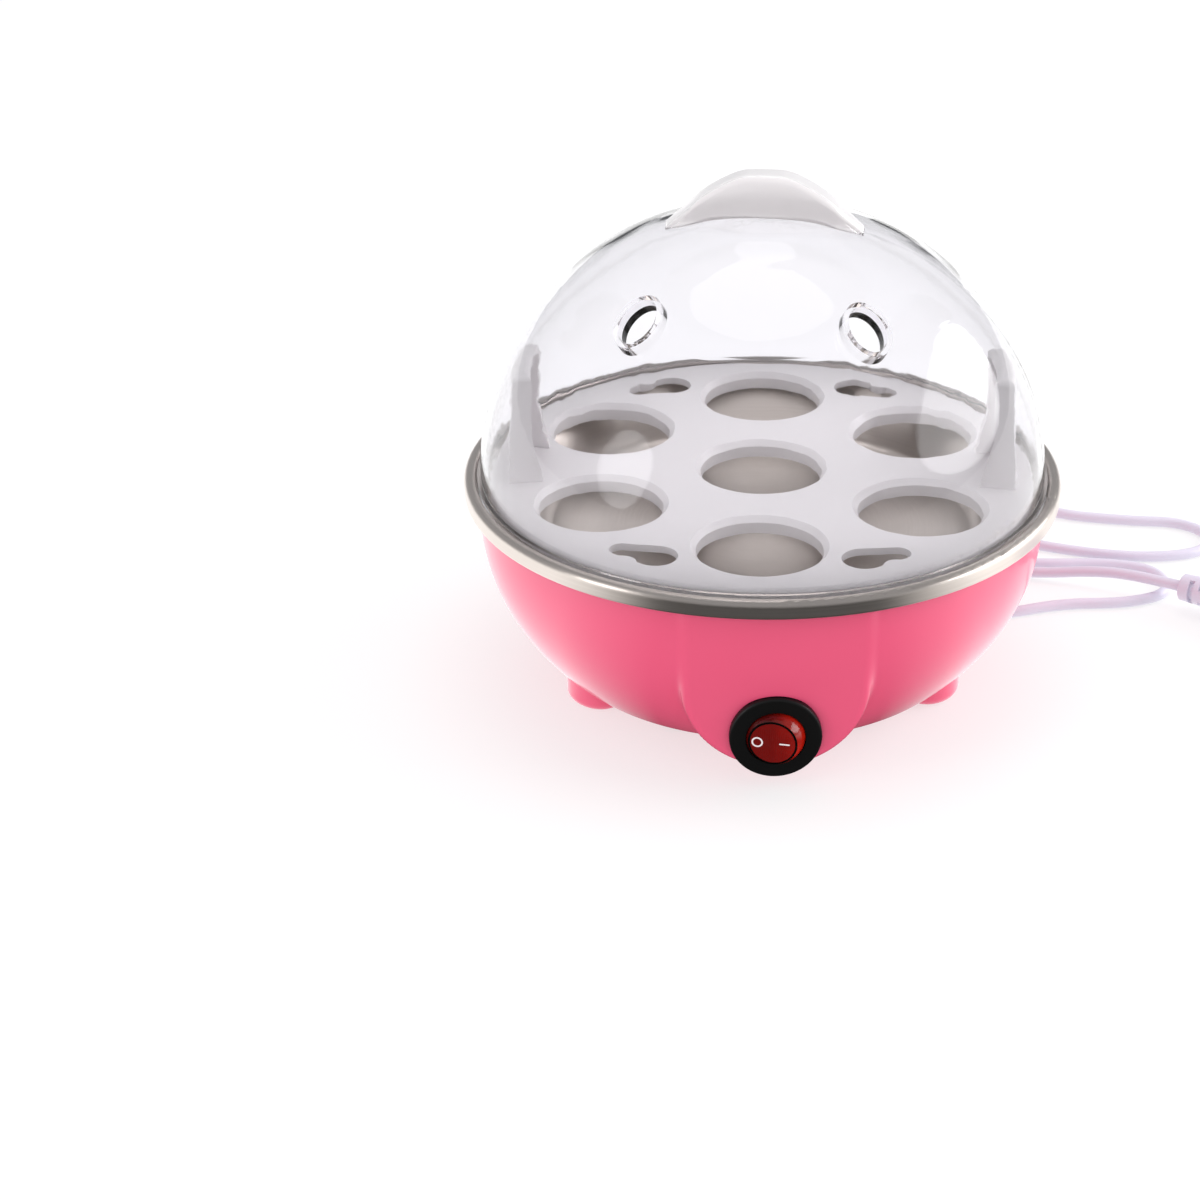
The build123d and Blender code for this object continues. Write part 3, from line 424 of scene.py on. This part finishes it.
FOOT_RING, FOOT_RADIAL, FOOT_WIDE, FOOT_TALL, FOOT_ROUND = 51.0, 8.0, 9.5, 14.0, 3.0
FOOT_ANGLES = (-26, 90, 206)
POST_RING, POST_ANGLES, POST_R, HEAD_BORE_R, SCREW_BORE_R = 46.0, (-58, 35, 145, 238), 4.2, 2.9, 1.7
POST_BOTTOM, POST_TALL, BORE_START, HEAD_BORE_DEEP, SCREW_BORE_DEEP = 3.0, 19.0, -2.0, 20.5, 30.0
BEZEL_SEAT_R, SWITCH_HOLE_R, CORD_HOLE_R = 12.3, 10.1, 4.6
HOLLOW_LIFT, SEAM_DEGREES = 6.0, 30


def foot_solid(angle):
    """One moulded foot: an upright oval plug with a rounded sole."""
    sole = [(FOOT_ROUND * (1 - cos(t)), FOOT_ROUND * (1 - sin(t))) for t in np.radians(range(0, 91, 10))]
    rings = sole + [(FOOT_TALL, 0.0)]
    around = np.radians(np.arange(0, 360, 4))
    points = [
        (FOOT_RING + (FOOT_RADIAL - inset) * cos(t), (FOOT_WIDE - inset) * sin(t), z)
        for z, inset in rings
        for t in around
    ]
    points += [(FOOT_RING, 0, 0), (FOOT_RING, 0, FOOT_TALL)]
    columns = len(around)
    last = (len(rings) - 1) * columns
    faces = grid_faces(len(rings), columns)
    for c in range(columns):
        d = (c + 1) % columns
        faces += [(d, c, last + columns), (last + c, last + d, last + columns + 1)]
    foot = mesh_piece("foot_blank", points, faces)
    foot.data.transform(Matrix.Rotation(radians(angle), 4, "Z"))
    return foot


def make_bowl():
    """The pink bowl: smooth skin with the switch boss, feet, and the screws' bores."""
    bowl = skin_solid("bowl_shell", 0.0)
    combine(bowl, [foot_solid(angle) for angle in FOOT_ANGLES], "UNION")
    combine(bowl, [skin_solid("hollow", BOWL_WALL, HOLLOW_LIFT)], "DIFFERENCE")
    at = [(POST_RING * cos(radians(a)), POST_RING * sin(radians(a))) for a in POST_ANGLES]
    combine(bowl, [cutter("post", POST_R, POST_TALL, (x, y, POST_BOTTOM)) for x, y in at], "UNION")
    cuts = [cutter("bore", HEAD_BORE_R, HEAD_BORE_DEEP, (x, y, BORE_START)) for x, y in at]
    cuts += [cutter("bore", SCREW_BORE_R, SCREW_BORE_DEEP, (x, y, BORE_START)) for x, y in at]
    facing = Vector(SWITCH_OUT).to_track_quat("Z", "Y")
    cuts.append(cutter("seat", BEZEL_SEAT_R, 8.0, SWITCH_AT, facing, 192))
    cuts.append(cutter("hole", SWITCH_HOLE_R, 16.0, SWITCH_AT - 12.0 * SWITCH_OUT, facing))
    backwards = Vector(RELIEF_OUT).to_track_quat("Z", "Y")
    cuts.append(cutter("gland", CORD_HOLE_R, 12.0, RELIEF_ROOT - 6 * RELIEF_OUT, backwards))
    combine(bowl, cuts, "DIFFERENCE")
    shade(bowl.data, SEAM_DEGREES)
    finish_piece(bowl, "pink_shell", stands_for=["base_shell"])


make_bowl()

# ---------------------------------------------------------------- lid grip
LID_R, LID_RISE, LID_MID = 77.0, 73.8, 59.2
LID_TURN = radians(-7.5)
GRIP_TOP = [
    (0, 143.55), (5, 143.45), (8, 142.6), (12, 140.6), (16, 138.1), (18.5, 136.1), (21, 133.6),
    (24, 131.0), (27, 128.6),
]
GRIP_REACH, GRIP_END, GRIP_END_HALF, GRIP_SWELL, GRIP_EDGE = 26, 7, 2.0, 2.2, 1.9
GRIP_FOOT, GRIP_FOOT_FALL, GRIP_SUNK = 0.9, 0.5, 0.15


def dome_height(x, y):
    """Height of the dome's skin over a point."""
    return LID_MID + LID_RISE * sqrt(1 - (x * x + y * y) / LID_R**2)


def make_grip():
    """The lid's grip: a milky tab whose outline runs out into the dome, with a small foot all round."""
    xs = np.linspace(-GRIP_REACH, GRIP_REACH, 131)
    knots = np.array(GRIP_TOP)
    tops = np.interp(np.abs(xs), knots[:, 0], knots[:, 1])
    for _ in range(8):
        tops[1:-1] = (tops[:-2] + 2 * tops[1:-1] + tops[2:]) / 4
    turns = np.radians(np.linspace(0, 90, 9))
    points = []
    for x, top in zip(xs, tops):
        half = GRIP_END_HALF + GRIP_SWELL * np.clip((GRIP_REACH - abs(x)) / GRIP_END, 0, 1) ** 0.6
        base = dome_height(x, half + GRIP_FOOT)
        top = max(top, base - 0.5)
        painted_light_side = []
        for up in (-0.6, -0.15, 0.15, 0.4, 0.8, 1.4, 3.0, 6.0):
            foot = GRIP_FOOT * np.exp(-max(up + GRIP_SUNK, 0) / GRIP_FOOT_FALL)
            painted_light_side.append((half + foot, min(base + up, top - GRIP_EDGE)))
        in_half, in_top = half - GRIP_EDGE, top - GRIP_EDGE
        painted_light_side += [(in_half + GRIP_EDGE * cos(t), in_top + GRIP_EDGE * sin(t)) for t in turns]
        points += [(x, -y, z) for y, z in painted_light_side] + [(x, y, z) for y, z in reversed(painted_light_side)]
    columns = len(points) // len(xs)
    grip = mesh_piece("lid_grip", points, tube_faces(len(xs), columns), 60)
    grip.data.transform(Matrix.Rotation(LID_TURN, 4, "Z"))
    grip.data.materials.append(GRIP_PLASTIC)
    finish_piece(grip, "clear_lid", "lid", ["lid_handle"])


make_grip()

# ---------------------------------------------------------------- rocker
ROCKER_TURN = radians(-12)
ROCKER_X = SWITCH_RIGHT * cos(ROCKER_TURN) - SWITCH_OUT * sin(ROCKER_TURN)
ROCKER_OUT = SWITCH_OUT * cos(ROCKER_TURN) + SWITCH_RIGHT * sin(ROCKER_TURN)
ROCKER_AT = SWITCH_AT - 0.5 * SWITCH_OUT
BALL_R, FACE_UP, BALL_BOTTOM = 8.0, 4.9, -3.2
FACE_R = sqrt(BALL_R**2 - FACE_UP**2)
CAP_ROWS, CAP_SUNK, RIB_HEIGHT, RIB_PITCH = 70, 0.15, 0.05, 0.55
GROOVE_FLOOR = FACE_UP - 0.8
HOLLOW_R, HOLLOW_TOP = 6.2, 2.9
SKIN_GAP = 0.03


def on_rocker(points):
    """Points given across, up and out of the rocker's face, in the object's frame."""
    points = np.asarray(points, float)
    return ROCKER_AT + points[:, :1] * ROCKER_X + points[:, 1:2] * SWITCH_UP + points[:, 2:] * ROCKER_OUT


def ring_faces(rows, columns):
    """Faces of rings from the middle outwards, the first one closed by a fan round a last point."""
    return grid_faces(rows, columns) + [(c, rows * columns, (c + 1) % columns) for c in range(columns)]


def make_rocker():
    """The rocker: a clear red ball cut flat, with its ribbed cap set in a groove coloured black as painted
    shade.
    """
    columns = 144
    around = np.radians(np.arange(columns) * 360 / columns)
    out = [(r, FACE_UP - CAP_SUNK) for r in np.linspace(0.1, FACE_R - 0.45, CAP_ROWS)]
    out += [(FACE_R - 0.4, GROOVE_FLOOR), (FACE_R + 0.12, GROOVE_FLOOR), (FACE_R + 0.15, FACE_UP - 0.25)]
    falls = np.arccos(np.linspace((FACE_UP - 0.28) / BALL_R, BALL_BOTTOM / BALL_R, 40))
    out += [((BALL_R - SKIN_GAP) * sin(t), (BALL_R - SKIN_GAP) * cos(t)) for t in falls]
    out += [(HOLLOW_R, BALL_BOTTOM), (HOLLOW_R, HOLLOW_TOP)]
    points = []
    for row, (r, z) in enumerate(out):
        for t in around:
            x = r * cos(t)
            ribs = RIB_HEIGHT * cos(2 * pi * x / RIB_PITCH) if row < CAP_ROWS else 0.0
            points.append((x, r * sin(t), z + ribs))
    inner = (len(out) - 1) * columns
    points += [(0, 0, FACE_UP - 0.1), (0, 0, HOLLOW_TOP)]
    faces = [tuple(reversed(face)) for face in ring_faces(len(out), columns)]
    faces += [(inner + (c + 1) % columns, inner + c, len(points) - 1) for c in range(columns)]
    rocker = mesh_piece("rocker_ball", on_rocker(points), faces, 50)
    for mat in (MATERIALS["red_rocker"], ROCKER_BODY, MATERIALS["black_bezel"]):
        rocker.data.materials.append(mat)
    # the groove's rows take black plastic: painted shade in the gap between cap and body
    for face in rocker.data.polygons:
        row = min(face.vertices) // columns
        face.material_index = 0 if row < CAP_ROWS - 1 else 2 if row < CAP_ROWS + 2 else 1
    finish_piece(rocker, "red_rocker", "rocker", ["switch_rocker"])


def make_mark(name, loop, hole=()):
    """A thin raised mark on the rocker's face, from its outline and, for a ring, its hole."""
    low, high = FACE_UP - 0.12, FACE_UP - 0.06
    count = len(loop)
    rings = [loop, hole] if hole else [loop]
    points = [(x, y, z) for ring in rings for z in (low, high) for x, y in ring]
    faces = grid_faces(2, count)
    if hole:
        inner = 2 * count
        faces += [tuple(reversed(face)) for face in grid_faces(2, count, start=inner)]
        for c in range(count):
            d = (c + 1) % count
            faces.append((count + c, count + d, inner + count + d, inner + count + c))
            faces.append((d, c, inner + c, inner + d))
    else:
        faces += [tuple(reversed(range(count))), tuple(range(count, 2 * count))]
    mark = mesh_piece(name, on_rocker(points), faces)
    mark.data.materials.append(MARK_WHITE)
    finish_piece(mark, "red_rocker", "rocker")


RING_MIDDLE, RING_R, RING_HOLE_R = -4.0, 1.5, 1.08
BAR_MIDDLE, BAR_HALF, BAR_R = 3.1, 1.2, 0.2


def make_marks():
    """A plain ring and a plain bar."""
    around = np.radians(np.arange(0, 360, 6))
    rings = [[(RING_MIDDLE + r * cos(t), r * sin(t)) for t in around] for r in (RING_R, RING_HOLE_R)]
    make_mark("mark_off", *rings)
    half_turn = np.radians(np.arange(0, 181, 30))
    bar = []
    for painted_light_side, start in ((1, -pi / 2), (-1, pi / 2)):
        middle = BAR_MIDDLE + painted_light_side * BAR_HALF
        bar += [(middle + BAR_R * cos(t + start), BAR_R * sin(t + start)) for t in half_turn]
    make_mark("mark_on", bar)


make_rocker()
make_marks()

# ---------------------------------------------------------------- cord fittings
PLUG_Z = 7.2
PLUG_AT = np.array([124.4, 25.3, PLUG_Z])
PLUG_OUT = np.array([10.4, -6.9, 0]) / np.hypot(10.4, 6.9)
# distance along the sleeve, and its radius there
BOWL_SLEEVE = [
    (-4.5, 6.2), (-2.75, 6.4), (-2.7, 4.5), (0.1, 4.5), (0.15, 6.2), (0.35, 6.4), (1.4, 6.4), (1.9, 6.0),
    (2.0, 4.3), (21.4, 2.7), (22, 2.3),
]
PLUG_SLEEVE = [(0, 3.3), (0.5, 3.9), (25.4, 5.2), (26, 5.2)]
PLUG_START, PLUG_FLARE, PLUG_ROUND, PLUG_ROUND_FROM, PLUG_SQUARE, RIB_DEEP = 26, 12, 1.2, 56.8, 5, 0.35
SLOTS, SLOT_RINGS, SLOT_HALF, SLOT_DEPTH, SLOT_SIDE = 6, (-0.75, -0.55, 0.55, 0.75), 0.6, 1.1, 0.45


def along(place, out, rings):
    """Points of rings (distance, [(side, up)...]) set along a direction from a place."""
    out = np.asarray(out, float)
    painted_light_side = np.cross(out, (0, 0, 1.0))
    painted_light_side /= np.linalg.norm(painted_light_side)
    up = np.cross(painted_light_side, out)
    return [place + out * s + painted_light_side * a + up * b for s, loop in rings for a, b in loop]


def slotted_sleeve(name, place, out, stations, slots, stands_for):
    """A bending sleeve: tapered, with staggered slots that reach half way round from each side."""
    columns = 96
    around = np.radians(np.arange(columns) * 360 / columns)
    far = np.array(stations)
    reach = sorted({*far[:, 0], *(s + d for s, _ in slots for d in SLOT_RINGS)})
    reach = sorted({*reach, *np.arange(far[0, 0], far[-1, 0], 0.5)})
    rings = []
    for s in reach:
        radius = np.interp(s, far[:, 0], far[:, 1])
        loop = []
        for t in around:
            deep = 0.0
            for middle, phase in slots:
                if abs(s - middle) < SLOT_HALF and abs(cos(t - phase)) > SLOT_SIDE:
                    deep = SLOT_DEPTH
            loop.append(((radius - deep) * cos(t), (radius - deep) * sin(t)))
        rings.append((s, loop))
    sleeve = mesh_piece(name, along(place, out, rings), tube_faces(len(reach), columns), 35)
    return finish_piece(sleeve, "white_cord", stands_for=stands_for)


def plug_moulding():
    """The plug: it flares from the sleeve to a rounded block with finger ribs on its sides."""
    stations = np.concatenate([[26.0, 26.4, 27.0], np.arange(28, 57, 0.4), [57.2, 57.6, 57.9, 58.0]])
    around = np.radians(np.arange(0, 360, 3))
    rings = []
    for s in stations:
        grow = 0.5 - 0.5 * cos(pi * min((s - PLUG_START) / PLUG_FLARE, 1.0))
        wide, high = 7.5 + 4.5 * grow, 5.2 + 2.0 * grow
        shrink = PLUG_ROUND - sqrt(max(PLUG_ROUND**2 - max(s - PLUG_ROUND_FROM, 0) ** 2, 0))
        shrink += 0.6 if s < 26.3 else 0.2 if s < 26.8 else 0.0
        ribs = RIB_DEEP * (0.5 - 0.5 * cos(2 * pi * (s - 38) / 3.0)) if 38 < s < 50 else 0.0
        loop = []
        for t in around:
            a, b = cos(t), sin(t)
            swell = (abs(a) ** PLUG_SQUARE + abs(b) ** PLUG_SQUARE) ** (-1 / PLUG_SQUARE)
            loop.append(((wide - shrink - ribs * abs(a) ** 3) * a * swell, (high - shrink) * b * swell))
        rings.append((s, loop))
    points = along(PLUG_AT, PLUG_OUT, rings)
    plug = mesh_piece("plug_moulding", points, tube_faces(len(rings), len(around)))
    return finish_piece(plug, "white_cord", stands_for=["plug_body"])


def make_fittings():
    """Both bending sleeves and the moulded plug."""
    slots = [(4.5 + 2.6 * k, pi / 2 * (k % 2)) for k in range(SLOTS)]
    relief = slotted_sleeve("cord_sleeve", RELIEF_ROOT, RELIEF_OUT, BOWL_SLEEVE, slots, ["cord_relief"])
    slots = [(4 + 3.2 * k, pi / 2 * (k % 2)) for k in range(SLOTS)]
    sleeve = slotted_sleeve("plug_sleeve", PLUG_AT, PLUG_OUT, PLUG_SLEEVE, slots, ["plug_relief"])
    return [relief, sleeve, plug_moulding()]


# ---------------------------------------------------------------- cord
LAY_Z = 1.6
CORD_ROUTE = [
    (0, 87.57, 8.26),
    (0, 98.13, LAY_Z),
    (-11, 115, LAY_Z),
    (-32, 124, LAY_Z),
    (-43, 140, LAY_Z),
    (-36, 158, LAY_Z),
    (-15, 165, LAY_Z),
    (18, 160, LAY_Z),
    (49, 141, LAY_Z),
    (72, 111, LAY_Z),
    (95, 87, LAY_Z),
    (119, 81, LAY_Z),
    (135, 79.5, LAY_Z),
    (143, 68.5, LAY_Z),
    (136, 57, LAY_Z),
    (114, 55.5, LAY_Z),
    (85, 66, LAY_Z),
    (57, 85, LAY_Z),
    (35, 92.5, LAY_Z),
    (18.5, 86, LAY_Z),
    (16, 69.5, LAY_Z),
    (30, 59.5, LAY_Z),
    (58, 58, LAY_Z),
    (86, 52, LAY_Z),
    (108, 52.5, LAY_Z),
    (122, 46.5, LAY_Z),
    (123, 32, LAY_Z),
    (109, 26, LAY_Z),
    (90, 26.5, LAY_Z),
    (70, 19.5, LAY_Z),
    (53.5, 25.5, LAY_Z),
    (52.5, 42, LAY_Z),
    (67.5, 50.5, LAY_Z),
    (86, 45, LAY_Z + 0.6),
    (102, 39, LAY_Z + 4.2),
    (114, 32.2, PLUG_Z),
    (124.4, 25.3, PLUG_Z),
]


def make_cord():
    """The mains cord, one smooth line through its route."""
    data = bpy.data.curves.new("mains_cord", "CURVE")
    data.dimensions = "3D"
    data.bevel_depth = LAY_Z * MM
    data.bevel_resolution = 8
    data.resolution_u = 16
    data.use_fill_caps = True
    line = data.splines.new("NURBS")
    line.points.add(len(CORD_ROUTE) - 1)
    for point, place in zip(line.points, CORD_ROUTE):
        point.co = (*(v * MM for v in place), 1.0)
    line.order_u = 3
    line.use_endpoint_u = True
    cord = new_object("mains_cord", data)
    finish_piece(cord, "white_cord", stands_for=["power_cord"])
    on_cord = [*make_fittings(), frame["nodes"]["inner_cord"], frame["nodes"]["plug_pins"]]


make_cord()


# ---------------------------------------------------------------- stage and light
ROOM_LIGHT, ROOM_REFLECTED = 0.88, 0.42
FLOOR_GLOW, FLOOR_REFLECTED = 0.64, (0.07, 1.5)
LIGHTS = [
    ("softbox_left", (-0.96, -0.53, 0.36), (0.45, 0.6), 2.4),
    ("softbox_right", (1.0, 0.1, 0.38), (1.2, 0.6), 7.0),
    ("softbox_top", (0.0, 0.2, 1.3), (1.0, 1.0), 5.0, False),
]


def add_light(name, place, size, power, mirrored=True, aim=(0, 0, 0.06)):
    """An oval softbox turned to the object; mirrored says whether reflections show it."""
    data = bpy.data.lights.new(name, "AREA")
    data.shape = "ELLIPSE"
    data.size, data.size_y = size
    data.energy = power
    light = new_object(name, data)
    light.visible_glossy = mirrored
    light.location = place
    light.rotation_mode = "QUATERNION"
    light.rotation_quaternion = (Vector(place) - Vector(aim)).to_track_quat("Z", "Y")


def dim_reflection(tree, bright, dim, output):
    """Let mirror reflections, but not what is seen through clear plastic, find a dimmer room."""
    nodes, links = tree.nodes, tree.links
    mix, path = nodes.new("ShaderNodeMixShader"), nodes.new("ShaderNodeLightPath")
    mirrored = nodes.new("ShaderNodeMath")
    mirrored.operation = "SUBTRACT"
    mirrored.use_clamp = True
    links.new(path.outputs["Is Glossy Ray"], mirrored.inputs[0])
    links.new(path.outputs["Is Transmission Ray"], mirrored.inputs[1])
    links.new(mirrored.outputs[0], mix.inputs["Fac"])
    links.new(bright.outputs[0], mix.inputs[1])
    links.new(dim.outputs[0], mix.inputs[2])
    links.new(mix.outputs["Shader"], nodes[output].inputs["Surface"])


def make_stage():
    """A pale floor and a white room, dimmer in reflections, with soft lights."""
    corners = [(-4000, -4000, 0), (4000, -4000, 0), (4000, 4000, 0), (-4000, 4000, 0)]
    floor = mesh_piece("floor", corners, [(0, 1, 2, 3)])
    paint = Surface("floor_paint", Base_Color=(0.32, 0.32, 0.325, 1), Roughness=0.9)
    paint.shader.inputs["Emission Color"].default_value = (1, 1, 1, 1)
    paint.shader.inputs["Emission Strength"].default_value = FLOOR_GLOW
    split = paint.node("ShaderNodeSeparateXYZ", Vector=paint.where)
    front = paint.math("MULTIPLY", split.outputs["Y"], -1.0)
    turn = paint.math("ARCTAN2", paint.math("ABSOLUTE", split.outputs["X"]), front)
    aside = paint.spread(turn, *FLOOR_REFLECTED, start=0.60, end=1.20)
    dim = paint.node("ShaderNodeEmission", Strength=aside)
    dim_reflection(paint.mat.node_tree, paint.shader, dim, "Material Output")
    floor.data.materials.append(paint.mat)
    world = bpy.data.worlds.new("studio")
    bpy.context.scene.world = world
    world.use_nodes = True
    bright = world.node_tree.nodes["Background"]
    bright.inputs["Color"].default_value = (1, 1, 1, 1)
    bright.inputs["Strength"].default_value = ROOM_LIGHT
    dim = world.node_tree.nodes.new("ShaderNodeBackground")
    dim.inputs["Strength"].default_value = ROOM_REFLECTED
    dim.inputs["Color"].default_value = (0.94, 0.96, 1, 1)
    dim_reflection(world.node_tree, bright, dim, "World Output")
    for light in LIGHTS:
        add_light(*light)
    bpy.context.scene.view_settings.view_transform = "Standard"


make_stage()
